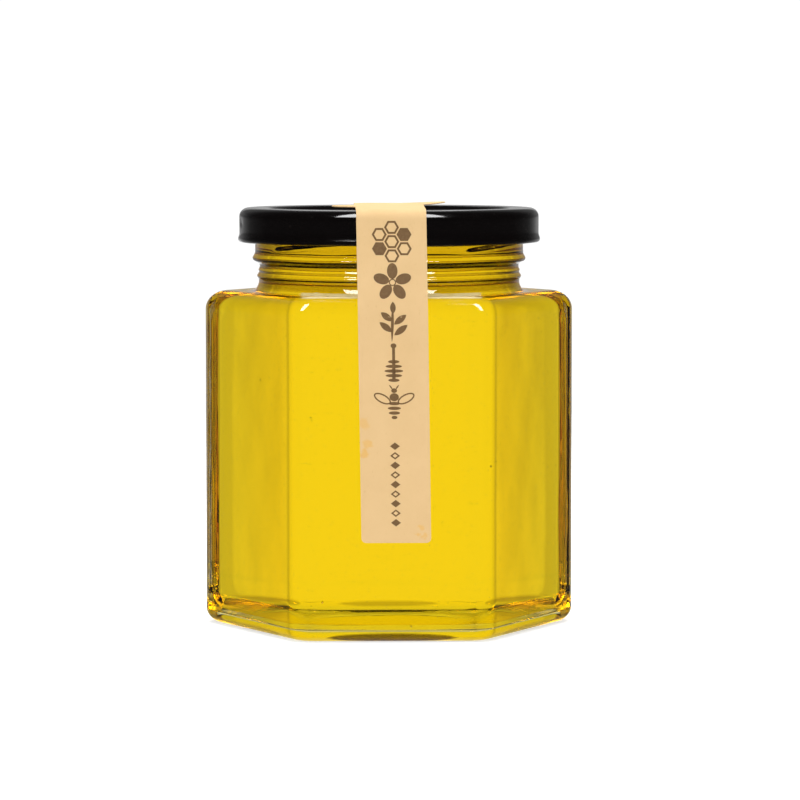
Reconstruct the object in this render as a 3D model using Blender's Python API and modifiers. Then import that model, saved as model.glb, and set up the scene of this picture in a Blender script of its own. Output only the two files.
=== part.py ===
"""Six-sided glass jar full of honey, shut by a black twist-off metal lid, with a paper seal over it.

Metres, +Z up. The origin is the centre of the flat base, and the sealed front face looks along -Y.
"""

import math

import bmesh
import bpy
from mathutils import Matrix

MM = 0.001
OBJECT_NAME = "glass_jar_of_honey"

# Body of the jar: a hexagonal block with rounded edges
ACROSS_FLATS = 71.4 * MM
SHOULDER_HEIGHT = 73.5 * MM
CORNER_RADIUS = 4.4 * MM
SHOULDER_RADIUS = 4.1 * MM
HEEL_RADIUS = 3.3 * MM
WALL = 3.0 * MM
FLOOR = 3.4 * MM
INNER_CORNER_RADIUS = 9.0 * MM
INNER_EDGE_RADIUS = 4.6 * MM
PUSH_UP_RADIUS = 28.5 * MM
PUSH_UP_DEPTH = 1.8 * MM

# Neck: a turned finish with a transfer bead, a stop ring and four slanting thread ridges
NECK_FOOT_RADIUS = 30.0 * MM
NECK_FOOT_HEIGHT = 74.1 * MM
NECK_FOOT_FILLET = 0.8 * MM
NECK_ROOT_DEPTH = 1.5 * MM
GROOVE_RADIUS = 29.15 * MM
GROOVE_HEIGHT = 75.6 * MM
BEAD_RADIUS = 29.4 * MM
BEAD_LOW = 76.4 * MM
BEAD_HIGH = 77.0 * MM
WAIST_RADIUS = 28.95 * MM
WAIST_LOW = 78.0 * MM
WAIST_HIGH = 79.4 * MM
RING_RADIUS = 30.15 * MM
RING_LOW = 80.2 * MM
RING_HIGH = 81.1 * MM
NECK_RADIUS = 29.6 * MM
NECK_LOW = 81.9 * MM
LIP_RADIUS = 29.3 * MM
LIP_HEIGHT = 89.9 * MM
LIP_ROUNDING = 1.2 * MM
LIP_TAPER = 1.2 * MM
BORE_RADIUS = 26.4 * MM
BORE_FILLET = 2.0 * MM
BORE_FLARE = 1.2 * MM
THREAD_COUNT = 4
THREAD_RADIUS = 0.75 * MM
THREAD_CENTRE = 29.9 * MM
THREAD_HIGH = 87.2 * MM
THREAD_LOW = 83.5 * MM
THREAD_SPAN = math.radians(70)
THREAD_LOW_END = math.radians(-58)
RIDGE_TIP = 0.45
RIDGE_STEPS = 8

# Lid: pressed sheet with a recessed panel, a curl at its lower edge and four lugs under the threads
LID_RADIUS = 33.0 * MM
LID_TOP = 91.7 * MM
LID_BOTTOM = 84.0 * MM
LID_SHEET = 0.6 * MM
LID_EDGE_RADIUS = 2.0 * MM
CURL_RADIUS = 33.3 * MM
CURL_INNER_RADIUS = 31.7 * MM
CURL_HEIGHT = LID_BOTTOM + (CURL_RADIUS - CURL_INNER_RADIUS) / 2
CURL_BLEND = 1.0 * MM
PANEL_RADIUS = 26.0 * MM
PANEL_DEPTH = 1.2 * MM
PANEL_SLOPE = 1.2 * MM
PANEL_ROUNDING = 0.2 * MM
GASKET_INNER_RADIUS = 26.6 * MM
GASKET_OUTER_RADIUS = 30.4 * MM
LUG_RADIUS = 0.72 * MM
LUG_CENTRE = 31.2 * MM
LUG_HEIGHT = 84.9 * MM
LUG_HALF_SPAN = math.radians(5)

# Paper seal: one strip from the front face over the lid to its back side, with a round middle
SEAL_WIDTH = 14.8 * MM
SEAL_DISC_RADIUS = 12.5 * MM
SEAL_THICKNESS = 0.3 * MM
SEAL_FRONT_END = 21.4 * MM
SEAL_BACK_END = 86.2 * MM
SEAL_CORNER_RADIUS = 1.0 * MM
SEAL_RISE = 0.5 * MM
SEAL_TWIST = 0.035
SEAL_TOP_OFFSET = -0.1 * MM
SEAL_SLANT = 0.0145
SEAL_CROWN_REACH = SEAL_DISC_RADIUS + 10 * MM
SEAL_COLUMNS = 4
SEAL_CORNER_STEPS = 3
SEAL_DROP_STEPS = 4
SEAL_CROWN_STEPS = 22

HONEY_LEVEL = 87.5 * MM
GAP = 0.3 * MM
TURNED_STEPS = 48
FINE_MERGE = 0.00001
CUT_MARGIN = 3.0 * MM


def clear_scene():
    for scene_object in list(bpy.data.objects):
        bpy.data.objects.remove(scene_object, do_unlink=True)


def new_collection(name):
    collection = bpy.data.collections.new(name)
    bpy.context.scene.collection.children.link(collection)
    return collection


def new_material(name, colour, roughness, metallic=0.0, transmission=0.0, coat=0.0):
    material = bpy.data.materials.new(name)
    material.use_nodes = True
    shader = material.node_tree.nodes["Principled BSDF"]
    shader.inputs["Base Color"].default_value = (*colour, 1.0)
    shader.inputs["Roughness"].default_value = roughness
    shader.inputs["Metallic"].default_value = metallic
    shader.inputs["Transmission Weight"].default_value = transmission
    shader.inputs["Coat Weight"].default_value = coat
    return material


def object_from_bmesh(name, mesh_builder, collection):
    mesh = bpy.data.meshes.new(name)
    mesh_builder.to_mesh(mesh)
    mesh_builder.free()
    new_object = bpy.data.objects.new(name, mesh)
    collection.objects.link(new_object)
    return new_object


def round_object(part):
    part.data.shade_smooth()
    part.data.set_sharp_from_angle(angle=math.radians(35))


def hide_cutter(cutter):
    cutter.hide_render = True
    cutter.display_type = "WIRE"


def bevel_edges(mesh_builder, edges, offset, segments):
    bmesh.ops.bevel(
        mesh_builder,
        geom=edges,
        offset=offset,
        offset_type="OFFSET",
        segments=segments,
        profile=0.5,
        affect="EDGES",
        clamp_overlap=False,
    )


def runs_down_a_corner(edge):
    """True for the edges that go up and down the block at its six corners."""
    directions = [math.atan2(vertex.co.y, vertex.co.x) for vertex in edge.verts]
    steps = [direction / math.radians(60) for direction in directions]
    at_corner = all(abs(step - round(step)) < 0.01 for step in steps)
    return at_corner and (round(steps[0]) - round(steps[1])) % 6 == 0


def hexagonal_block(across_flats, low, high, low_radius, high_radius, corner_radius):
    """A hexagonal block with flats towards the front and back, and every edge rounded."""
    block = bmesh.new()
    corner_distance = across_flats / math.sqrt(3)
    place = Matrix.Translation((0, 0, (low + high) / 2)) @ Matrix.Rotation(math.radians(30), 4, "Z")
    bmesh.ops.create_cone(
        block,
        cap_ends=True,
        cap_tris=False,
        segments=6,
        radius1=corner_distance,
        radius2=corner_distance,
        depth=high - low,
        matrix=place,
    )
    middle = (low + high) / 2
    top_edges = [edge for edge in block.edges if all(vertex.co.z > middle for vertex in edge.verts)]
    bevel_edges(block, top_edges, high_radius, 6)
    low_edges = [edge for edge in block.edges if all(vertex.co.z < middle for vertex in edge.verts)]
    bevel_edges(block, low_edges, low_radius, 5)
    corner_edges = [edge for edge in block.edges if runs_down_a_corner(edge)]
    bevel_edges(block, corner_edges, corner_radius * math.tan(math.radians(30)), 4)
    return block


def arc(centre_radius, centre_height, radius, start, end, steps):
    """Profile points on an arc in the turned plane, with angles in degrees from +X towards +Z."""
    points = []
    for step in range(steps + 1):
        angle = math.radians(start + (end - start) * step / steps)
        points.append((centre_radius + radius * math.cos(angle), centre_height + radius * math.sin(angle)))
    return points


def turned_object(name, profile, collection):
    """A solid turned about Z from a profile that runs down its outer side and back inside."""
    outline = bmesh.new()
    corners = [outline.verts.new((radius, 0, height)) for radius, height in profile]
    for first, second in zip(corners, corners[1:]):
        outline.edges.new((first, second))
    turned = object_from_bmesh(name, outline, collection)
    screw = turned.modifiers.new("Turn", "SCREW")
    screw.axis = "Z"
    screw.steps = TURNED_STEPS
    screw.render_steps = TURNED_STEPS
    screw.use_merge_vertices = True
    screw.merge_threshold = FINE_MERGE
    return turned


def arc_ridge(name, centre_radius, thickness, angles, heights, collection):
    """A round-sectioned ridge from the first angle and height to the second, as a mesh with welded caps."""
    curve = bpy.data.curves.new(name, "CURVE")
    curve.dimensions = "3D"
    curve.bevel_depth = thickness
    curve.bevel_resolution = 2
    curve.use_fill_caps = True
    line = curve.splines.new("POLY")
    line.points.add(RIDGE_STEPS)
    for step, point in enumerate(line.points):
        share = step / RIDGE_STEPS
        angle = angles[0] + (angles[1] - angles[0]) * share
        height = heights[0] + (heights[1] - heights[0]) * share
        point.co = (centre_radius * math.sin(angle), -centre_radius * math.cos(angle), height, 1.0)
        point.radius = min(1.0, RIDGE_TIP + math.sin(math.pi * share))
    curve_object = bpy.data.objects.new(name, curve)
    collection.objects.link(curve_object)
    depsgraph = bpy.context.evaluated_depsgraph_get()
    mesh = bpy.data.meshes.new_from_object(curve_object.evaluated_get(depsgraph))
    welded = bmesh.new()
    welded.from_mesh(mesh)
    bmesh.ops.remove_doubles(welded, verts=welded.verts, dist=FINE_MERGE)
    bmesh.ops.recalc_face_normals(welded, faces=welded.faces)
    welded.to_mesh(mesh)
    welded.free()
    ridge = bpy.data.objects.new(name, mesh)
    ridge.matrix_world = curve_object.matrix_world
    bpy.data.objects.remove(curve_object, do_unlink=True)
    collection.objects.link(ridge)
    return ridge


def add_boolean(target, operation, operand):
    boolean = target.modifiers.new(f"{operation.title()} {operand.name}", "BOOLEAN")
    boolean.operation = operation
    boolean.solver = "EXACT"
    boolean.object = operand
    hide_cutter(operand)


def neck_profile():
    """Outer profile of the neck from the middle of the lip down to inside the shoulder."""
    lip_centre = LIP_HEIGHT - LIP_ROUNDING
    root = SHOULDER_HEIGHT - NECK_ROOT_DEPTH
    profile = [(0, LIP_HEIGHT)]
    profile += arc(LIP_RADIUS - LIP_ROUNDING, lip_centre, LIP_ROUNDING, 90, 0, 4)
    profile += [
        (NECK_RADIUS, lip_centre - LIP_TAPER),
        (NECK_RADIUS, NECK_LOW),
        (RING_RADIUS, RING_HIGH),
        (RING_RADIUS, RING_LOW),
        (WAIST_RADIUS, WAIST_HIGH),
        (WAIST_RADIUS, WAIST_LOW),
        (BEAD_RADIUS, BEAD_HIGH),
        (BEAD_RADIUS, BEAD_LOW),
        (GROOVE_RADIUS, GROOVE_HEIGHT),
        (NECK_FOOT_RADIUS, NECK_FOOT_HEIGHT),
        (NECK_FOOT_RADIUS + NECK_FOOT_FILLET, SHOULDER_HEIGHT - NECK_FOOT_FILLET / 2),
        (NECK_FOOT_RADIUS + NECK_FOOT_FILLET, root),
        (0, root),
    ]
    return profile


def contents_form(name, gap, level, collection, helpers):
    """The form of the space inside the jar, drawn in by a gap and filled to a level."""
    block = hexagonal_block(
        ACROSS_FLATS - 2 * (WALL + gap),
        FLOOR + gap,
        SHOULDER_HEIGHT - WALL - gap,
        INNER_EDGE_RADIUS,
        INNER_EDGE_RADIUS,
        INNER_CORNER_RADIUS,
    )
    form = object_from_bmesh(name, block, collection)
    radius = BORE_RADIUS - gap
    ceiling = SHOULDER_HEIGHT - WALL - gap
    profile = [
        (0, level),
        (radius, level),
        (radius, ceiling + BORE_FILLET),
        (radius + BORE_FLARE / 2, ceiling + BORE_FILLET / 3),
        (radius + BORE_FLARE, ceiling - BORE_FILLET / 4),
        (radius + BORE_FLARE, ceiling - BORE_FILLET),
        (0, ceiling - BORE_FILLET),
    ]
    bore = turned_object(name + "_neck", profile, helpers)
    add_boolean(form, "UNION", bore)
    return form


def push_up_profile():
    """The hollow under the base: a shallow dome that reaches past the base downwards."""
    dome_radius = (PUSH_UP_RADIUS**2 + PUSH_UP_DEPTH**2) / (2 * PUSH_UP_DEPTH)
    edge_angle = math.degrees(math.acos(PUSH_UP_RADIUS / dome_radius))
    dome = arc(0, PUSH_UP_DEPTH - dome_radius, dome_radius, 90, edge_angle, 5)
    return [(0, PUSH_UP_DEPTH)] + dome[1:] + [(PUSH_UP_RADIUS, -CUT_MARGIN), (0, -CUT_MARGIN)]


def build_glass(parts, helpers):
    block = hexagonal_block(
        ACROSS_FLATS, 0.0, SHOULDER_HEIGHT, HEEL_RADIUS, SHOULDER_RADIUS, CORNER_RADIUS
    )
    jar = object_from_bmesh("glass_jar", block, parts)
    neck = turned_object("neck_outside", neck_profile(), helpers)
    add_boolean(jar, "UNION", neck)
    for count in range(THREAD_COUNT):
        low_angle = THREAD_LOW_END + count * math.radians(360 / THREAD_COUNT)
        ridge = arc_ridge(
            f"thread_{count + 1}",
            THREAD_CENTRE,
            THREAD_RADIUS,
            (low_angle + THREAD_SPAN, low_angle),
            (THREAD_HIGH, THREAD_LOW),
            helpers,
        )
        add_boolean(jar, "UNION", ridge)
    space = contents_form("space_inside", 0.0, LIP_HEIGHT + CUT_MARGIN, helpers, helpers)
    add_boolean(jar, "DIFFERENCE", space)
    push_up = turned_object("push_up", push_up_profile(), helpers)
    add_boolean(jar, "DIFFERENCE", push_up)
    round_object(jar)
    jar.data.materials.append(new_material("clear_glass", (0.95, 0.97, 0.94), 0.03, transmission=0.9))
    return jar


def build_honey(parts, helpers):
    honey = contents_form("honey", GAP, HONEY_LEVEL, parts, helpers)
    round_object(honey)
    honey.data.materials.append(new_material("honey", (0.91, 0.62, 0.012), 0.1, transmission=0.4))
    return honey


def lid_profile():
    """Section of the lid: the outer side from the middle to the curl, then the inner side back."""
    edge_centre = LID_RADIUS - LID_EDGE_RADIUS
    edge_height = LID_TOP - LID_EDGE_RADIUS
    curl_middle = (CURL_RADIUS + CURL_INNER_RADIUS) / 2
    curl_half = (CURL_RADIUS - CURL_INNER_RADIUS) / 2
    panel_top = LID_TOP - PANEL_DEPTH
    gasket_height = LIP_HEIGHT + GAP
    profile = [
        (0, panel_top),
        (PANEL_RADIUS - PANEL_SLOPE / 2, panel_top),
        (PANEL_RADIUS, panel_top + PANEL_ROUNDING),
        (PANEL_RADIUS + PANEL_SLOPE / 2, LID_TOP - PANEL_ROUNDING),
        (PANEL_RADIUS + PANEL_SLOPE, LID_TOP),
    ]
    profile += arc(edge_centre, edge_height, LID_EDGE_RADIUS, 90, 0, 5)
    profile += [(LID_RADIUS, CURL_HEIGHT + CURL_BLEND)]
    profile += arc(curl_middle, CURL_HEIGHT, curl_half, 20, -200, 7)
    profile += [(LID_RADIUS - LID_SHEET, CURL_HEIGHT + CURL_BLEND)]
    profile += arc(edge_centre, edge_height, LID_EDGE_RADIUS - LID_SHEET, 0, 60, 2)
    profile += [
        (GASKET_OUTER_RADIUS, gasket_height),
        (GASKET_INNER_RADIUS, gasket_height),
        (PANEL_RADIUS - PANEL_SLOPE / 2, panel_top - LID_SHEET),
        (0, panel_top - LID_SHEET),
    ]
    return profile


def build_lid(parts, helpers):
    lid = turned_object("metal_lid", lid_profile(), parts)
    for count in range(THREAD_COUNT):
        high_end = THREAD_LOW_END + THREAD_SPAN + count * math.radians(360 / THREAD_COUNT)
        middle = high_end - LUG_HALF_SPAN
        lug = arc_ridge(
            f"lug_{count + 1}",
            LUG_CENTRE,
            LUG_RADIUS,
            (middle - LUG_HALF_SPAN, middle + LUG_HALF_SPAN),
            (LUG_HEIGHT, LUG_HEIGHT),
            helpers,
        )
        add_boolean(lid, "UNION", lug)
    round_object(lid)
    lid.data.materials.append(new_material("black_lacquer", (0.008, 0.007, 0.007), 0.18, coat=0.6))
    return lid


def seal_tip(out, end, lap):
    """Rows of a rounded tip, from its lowest point up to where the strip has its full width."""
    rows = []
    for step in range(SEAL_CORNER_STEPS + 1):
        angle = math.radians(90 * step / SEAL_CORNER_STEPS)
        height = end + SEAL_CORNER_RADIUS * (1 - math.cos(angle))
        inset = SEAL_CORNER_RADIUS * (1 - math.sin(angle))
        rows.append((out, height, SEAL_WIDTH / 2 - inset, lap))
    return rows


def seal_drop():
    """Rows of the front end, up the glass and across to the curl of the lid."""
    face = ACROSS_FLATS / 2 + GAP
    face_top = SHOULDER_HEIGHT - SHOULDER_RADIUS
    curl = CURL_RADIUS + GAP
    rows = seal_tip(-face, SEAL_FRONT_END, 0.0)
    for step in range(SEAL_DROP_STEPS + 1):
        share = step / SEAL_DROP_STEPS
        out = face + (curl - face) * share
        height = face_top + (CURL_HEIGHT - face_top) * share
        rows.append((-out, height, SEAL_WIDTH / 2, share))
    return rows


def seal_bend(side):
    """Rows of the bend over the rim of the lid, from its side up to its top."""
    edge_centre = LID_RADIUS - LID_EDGE_RADIUS
    edge_height = LID_TOP - LID_EDGE_RADIUS
    bend = arc(edge_centre, edge_height, LID_EDGE_RADIUS + GAP, 0, 90, 4)
    return [(side * out, height, SEAL_WIDTH / 2, 1.0) for out, height in bend]


def seal_crown():
    """Rows of the stretch across the lid, slightly arched, with the round middle."""
    rows = []
    for step in range(SEAL_CROWN_STEPS + 1):
        along = SEAL_CROWN_REACH * (2 * step / SEAL_CROWN_STEPS - 1)
        round_width = math.sqrt(max(0.0, SEAL_DISC_RADIUS**2 - along**2))
        rise = SEAL_RISE * math.cos(math.pi / 2 * along / SEAL_CROWN_REACH) ** 2
        lap = (along / (LID_RADIUS - LID_EDGE_RADIUS)) ** 2
        rows.append((along, LID_TOP + GAP + rise, max(SEAL_WIDTH / 2, round_width), lap))
    return rows


def seal_rows():
    """Rows of the seal's inner face, front to back: y, z, half width, and its lap round the rim."""
    back_tip = seal_tip(LID_RADIUS + GAP, SEAL_BACK_END, 1.0)
    return seal_drop() + seal_bend(-1) + seal_crown() + seal_bend(1)[::-1] + back_tip[::-1]


def build_seal(parts):
    """A flat grid, laid along the rows, bent round the rim, slanted and lifted at one side."""
    rows = seal_rows()
    sheet = bmesh.new()
    bmesh.ops.create_grid(sheet, x_segments=SEAL_COLUMNS, y_segments=len(rows) - 1, size=0.5)
    for vertex in sheet.verts:
        row = round((vertex.co.y + 0.5) * (len(rows) - 1))
        y, z, half_width, lap = rows[row]
        across = 2 * vertex.co.x * half_width
        bend = lap * across**2 / (2 * LID_RADIUS)
        slant = SEAL_SLANT * (LID_TOP - min(z, LID_TOP)) if y < 0 else 0.0
        nearness = max(0.0, 1 - abs(y) / (LID_RADIUS - LID_EDGE_RADIUS))
        vertex.co.x = SEAL_TOP_OFFSET + across + slant
        vertex.co.y = y - math.copysign(bend, y)
        vertex.co.z = z + SEAL_TWIST * across * min(1.0, 2 * nearness)
    bmesh.ops.recalc_face_normals(sheet, faces=sheet.faces)
    top_face = max(sheet.faces, key=lambda face: face.calc_center_median().z)
    if top_face.normal.z < 0:
        bmesh.ops.reverse_faces(sheet, faces=sheet.faces)
    seal = object_from_bmesh("paper_seal", sheet, parts)
    solidify = seal.modifiers.new("Paper thickness", "SOLIDIFY")
    solidify.thickness = SEAL_THICKNESS
    solidify.offset = 1.0
    seal.data.materials.append(new_material("kraft_paper", (0.82, 0.58, 0.28), 0.8))
    return seal


def main():
    clear_scene()
    parts = new_collection(OBJECT_NAME)
    helpers = new_collection("cutters")
    build_glass(parts, helpers)
    build_honey(parts, helpers)
    build_lid(parts, helpers)
    build_seal(parts)


main()
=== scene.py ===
"""Glass jar of honey: six-sided glass, clear yellow honey, black twist-off lid and a kraft paper seal.

Metres, +Z up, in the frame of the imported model. The sealed front face looks along -Y.
"""

import math
import random

import bmesh
import bpy
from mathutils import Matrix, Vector, noise


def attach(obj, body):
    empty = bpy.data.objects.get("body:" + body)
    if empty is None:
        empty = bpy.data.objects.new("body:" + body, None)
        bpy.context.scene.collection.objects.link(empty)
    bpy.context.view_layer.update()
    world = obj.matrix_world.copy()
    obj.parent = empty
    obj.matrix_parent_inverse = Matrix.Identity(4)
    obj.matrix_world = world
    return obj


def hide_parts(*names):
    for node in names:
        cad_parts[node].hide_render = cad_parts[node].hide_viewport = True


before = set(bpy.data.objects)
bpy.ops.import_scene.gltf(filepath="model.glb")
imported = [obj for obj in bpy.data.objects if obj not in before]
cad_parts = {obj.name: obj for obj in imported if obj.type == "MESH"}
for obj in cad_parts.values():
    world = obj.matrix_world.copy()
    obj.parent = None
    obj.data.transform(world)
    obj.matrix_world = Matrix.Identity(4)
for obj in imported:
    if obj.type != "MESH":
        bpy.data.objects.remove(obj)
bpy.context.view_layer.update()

MM = 0.001
IMAGE_SIDE = 800

# Body of the jar, from the part's source
HALF_FLATS = 35.7 * MM
SHOULDER_HEIGHT = 73.5 * MM
CORNER_RADIUS = 4.9 * MM
SHOULDER_RADIUS = 4.1 * MM
HEEL_RADIUS = 3.3 * MM
WALL = 3.0 * MM
FLOOR = 3.4 * MM
INNER_CORNER_RADIUS = 9.0 * MM
INNER_EDGE_RADIUS = 4.6 * MM
INNER_HEEL_RADIUS = 3.4 * MM
PUSH_UP_RADIUS = 28.5 * MM
PUSH_UP_DEPTH = 1.8 * MM

# Rings of the standing rim: share of the way from the push-up to the heel, height, and depth of the ticks
STANDING_RIM = ((0.0, 0.1, 0.0), (0.15, 0.0, 0.25), (0.4, 0.0, 0.45), (0.7, 0.0, 0.45), (0.95, 0.0, 0.25))

# Painted shade of the push-up on a side of the heel: half length, height of its middle, half height, strength
PAINTED_SHADE_FRONT = (13.5 * MM, 0.95 * MM, 1.0 * MM, 0.95)
PAINTED_SHADE_BACK = (11 * MM, 2.3 * MM, 0.6 * MM, 0.4)
PAINTED_SHADE_OTHERS = (12 * MM, 0.9 * MM, 0.8 * MM, 0.3)

# How much of the glass the pale film on the front shoulder covers: dried honey in part, and a painted highlight
# along the front edge
RESIDUE_AND_PAINTED_HIGHLIGHT = 0.72

BORE_RADIUS = 26.4 * MM
LIP_RADIUS = 29.3 * MM
LIP_HEIGHT = 89.9 * MM
LIP_ROUNDING = 1.2 * MM
HONEY_LEVEL = 87.5 * MM
WETTING = 0.12 * MM

# Neck: points of its outer side, as radius and height in millimetres
NECK_SIDE = (
    (29.95, 73.42), (29.65, 73.6), (29.4, 73.85), (29.2, 74.2), (29.0, 74.6), (28.85, 75.1),
    (28.8, 75.6), (28.85, 76.1), (29.1, 76.5), (29.15, 76.85), (28.9, 77.25), (28.75, 77.55),
    (28.8, 77.85), (28.85, 78.1), (28.65, 78.5), (28.6, 79.0), (28.8, 79.5), (29.4, 79.85),
    (29.95, 80.15), (30.12, 80.55), (30.06, 80.9), (29.7, 81.55), (29.62, 82.1), (29.6, 83.5),
    (29.6, 85.5), (29.6, 87.0),
)
THREAD_COUNT = 4
THREAD_HALF_HEIGHT = 1.1 * MM
THREAD_PROUD = 0.3 * MM
THREAD_HIGH = 87.2 * MM
THREAD_LOW = 83.5 * MM
THREAD_SPAN = math.radians(70)
THREAD_LOW_END = math.radians(-58)

# Columns of points round the jar: each corner of the hexagon has its own, and each flat
CORNER_COLUMNS = 12
FLAT_COLUMNS = 36
SECTOR_COLUMNS = CORNER_COLUMNS + FLAT_COLUMNS
COLUMNS = 6 * SECTOR_COLUMNS

# Lid
LID_RADIUS = 33.0 * MM
LID_TOP = 91.7 * MM
LID_SHEET = 0.6 * MM
LID_EDGE_RADIUS = 2.0 * MM
CURL_CENTRE_RADIUS = 32.5 * MM
CURL_CENTRE_HEIGHT = 84.8 * MM
CURL_HALF = 0.8 * MM
PANEL_DEPTH = 1.2 * MM
LID_COLUMNS = 240

# Where the lid's panel rises to its rim: radius and height in millimetres
PANEL_FOOT = (
    (24.4, 90.5), (25.0, 90.5), (25.5, 90.58), (25.95, 90.9), (26.35, 91.3), (26.8, 91.6), (27.4, 91.7)
)
DENT_TURN = math.radians(-170.0)
DENT_HEIGHT = 88.6 * MM
DENT_DEPTH = 0.22 * MM
LUG_DEPTH_INSIDE = 0.9 * MM
LUG_DEPTH_OUTSIDE = 0.16 * MM

# Paper seal
SEAL_HALF_WIDTH = 7.4 * MM
SEAL_DISC_RADIUS = 12.5 * MM
SEAL_LIFT = 0.14 * MM
SEAL_PAPER = 0.18 * MM
SEAL_FRONT_END = 21.4 * MM
SEAL_BACK_END = 86.2 * MM
SEAL_CORNER_RADIUS = 1.0 * MM
SEAL_RISE = 0.5 * MM
SEAL_TWIST = 0.035
SEAL_TOP_OFFSET = -0.1 * MM
SEAL_SLANT = 0.0145
SEAL_CROWN_REACH = SEAL_DISC_RADIUS + 10 * MM


def deselect_all():
    if bpy.context.object and bpy.context.object.mode != "OBJECT":
        bpy.ops.object.mode_set(mode="OBJECT")
    bpy.ops.object.select_all(action="DESELECT")


def edit_all():
    """Opens the mesh of the active object with all of it selected."""
    bpy.ops.object.mode_set(mode="EDIT")
    bpy.ops.mesh.select_all(action="SELECT")


def thicken(piece, name, thickness, offset):
    solidify = piece.modifiers.new(name, "SOLIDIFY")
    solidify.thickness = thickness
    solidify.offset = offset
    bpy.ops.object.modifier_apply(modifier=solidify.name)


def join_shapes(shapes, name):
    deselect_all()
    for shape in shapes:
        shape.select_set(True)
    bpy.context.view_layer.objects.active = shapes[0]
    bpy.ops.object.join()
    piece = bpy.context.object
    piece.name = name
    piece.data.name = name
    return piece


def blend_values(first, second, share):
    return first + (second - first) * share


def smooth_step(share):
    share = min(1.0, max(0.0, share))
    return share * share * (3 - 2 * share)


def bump(distance, half_width):
    """A smooth hump: 1 in the middle, 0 from half_width outwards."""
    return math.cos(math.pi / 2 * min(1.0, abs(distance) / half_width)) ** 2


# Outlines of the jar

def hexagon_place(column, half_flats, corner_radius):
    """The point of a rounded hexagon that a column stands on, and the direction that it faces."""
    sector, place = divmod(column, SECTOR_COLUMNS)
    half_corner = CORNER_COLUMNS / 2
    if place > half_corner + FLAT_COLUMNS:
        sector += 1
        place -= SECTOR_COLUMNS
    centre_distance = (half_flats - corner_radius) / math.cos(math.radians(30))
    if place <= half_corner:
        facing = math.radians(60 * sector + 30 * place / half_corner)
        corner = math.radians(60 * sector)
        x = centre_distance * math.cos(corner) + corner_radius * math.cos(facing)
        y = centre_distance * math.sin(corner) + corner_radius * math.sin(facing)
        return x, y, facing
    facing = math.radians(60 * sector + 30)
    share = (place - half_corner) / FLAT_COLUMNS
    half_flat = (half_flats - corner_radius) * math.tan(math.radians(30))
    along = blend_values(-half_flat, half_flat, share)
    x = half_flats * math.cos(facing) - along * math.sin(facing)
    y = half_flats * math.sin(facing) + along * math.cos(facing)
    return x, y, facing


def hexagon_ring(half_flats, corner_radius, height):
    places = [hexagon_place(column, half_flats, corner_radius) for column in range(COLUMNS)]
    return [Vector((x, y, height)) for x, y, facing in places]


def round_ring(radius, height, columns=COLUMNS):
    turns = [math.tau * column / columns for column in range(columns)]
    return [Vector((radius * math.cos(turn), radius * math.sin(turn), height)) for turn in turns]


def between_rings(first, second, count):
    """Rings evenly spaced between two others."""
    rings = []
    for step in range(1, count):
        rings.append([a.lerp(b, step / count) for a, b in zip(first, second)])
    return rings


def smooth_line(points, steps):
    """A curve through all the points, with that many steps between each two."""
    padded = [points[0], *points, points[-1]]
    line = []
    for before, start, end, after in zip(padded, padded[1:], padded[2:], padded[3:]):
        for step in range(steps):
            t = step / steps
            place = []
            for a, b, c, d in zip(before, start, end, after):
                bend = (2 * a - 5 * b + 4 * c - d) * t * t + (3 * b - a - 3 * c + d) * t * t * t
                place.append(b + 0.5 * ((c - a) * t + bend))
            line.append(tuple(place))
    line.append(points[-1])
    return line


# Rings of the glass

def thread_height(turn):
    """How proud the nearest thread ridge is at a turn about the axis, and the height of its middle."""
    from_front = turn + math.pi / 2
    nearest = (0.0, THREAD_LOW)
    for count in range(THREAD_COUNT):
        low_end = THREAD_LOW_END + count * math.tau / THREAD_COUNT
        along = (from_front - low_end) % math.tau
        if along > math.pi + THREAD_SPAN / 2:
            along -= math.tau
        share = along / THREAD_SPAN
        if -0.03 < share < 1.03:
            proud = smooth_step((share + 0.03) / 0.1) * smooth_step((1.03 - share) / 0.25)
            height = blend_values(THREAD_LOW, THREAD_HIGH, share)
            if proud > nearest[0]:
                nearest = (proud, height)
    return nearest


def neck_ring(radius, height):
    ring = round_ring(radius, height)
    for point in ring:
        turn = math.atan2(point.y, point.x)
        proud, middle = thread_height(turn)
        ridge = THREAD_PROUD * proud * bump(height - middle, THREAD_HALF_HEIGHT)
        wave = noise.noise(Vector((2.2 * math.cos(turn), 2.2 * math.sin(turn), height / (3 * MM))))
        scale = (radius + ridge + 0.07 * MM * wave) / radius
        point.x *= scale
        point.y *= scale
        rise = noise.noise(Vector((3 * math.cos(turn), 3 * math.sin(turn), 7.3)))
        point.z += 0.14 * MM * rise * bump(height - 79.5 * MM, 6 * MM)
    return ring


def push_up_rings():
    """The shallow hollow under the base, out to the rim that the jar stands on."""
    dome_radius = (PUSH_UP_RADIUS**2 + PUSH_UP_DEPTH**2) / (2 * PUSH_UP_DEPTH)
    rings = []
    for radius in (1.2, 3, 6, 9, 12, 15, 18, 21, 23.5, 25.5, 27, 28):
        radius *= MM
        height = PUSH_UP_DEPTH - dome_radius + math.sqrt(dome_radius**2 - radius**2)
        rings.append(round_ring(radius, height))
    return rings


def knurled_ring(radius, half_flats, share, height, depth):
    """A ring of the standing rim, with the small moulded ticks near its corners."""
    ring = []
    outer = hexagon_ring(half_flats, CORNER_RADIUS, height)
    for column, (inside, outside) in enumerate(zip(round_ring(radius, height), outer)):
        point = inside.lerp(outside, share)
        from_corner = abs((column / SECTOR_COLUMNS + 0.5) % 1 - 0.5)
        tick = depth * smooth_step((0.3 - from_corner) / 0.08)
        point.z += tick * (0.5 + 0.5 * math.cos(math.tau * column / 4))
        ring.append(point)
    return ring


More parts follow.
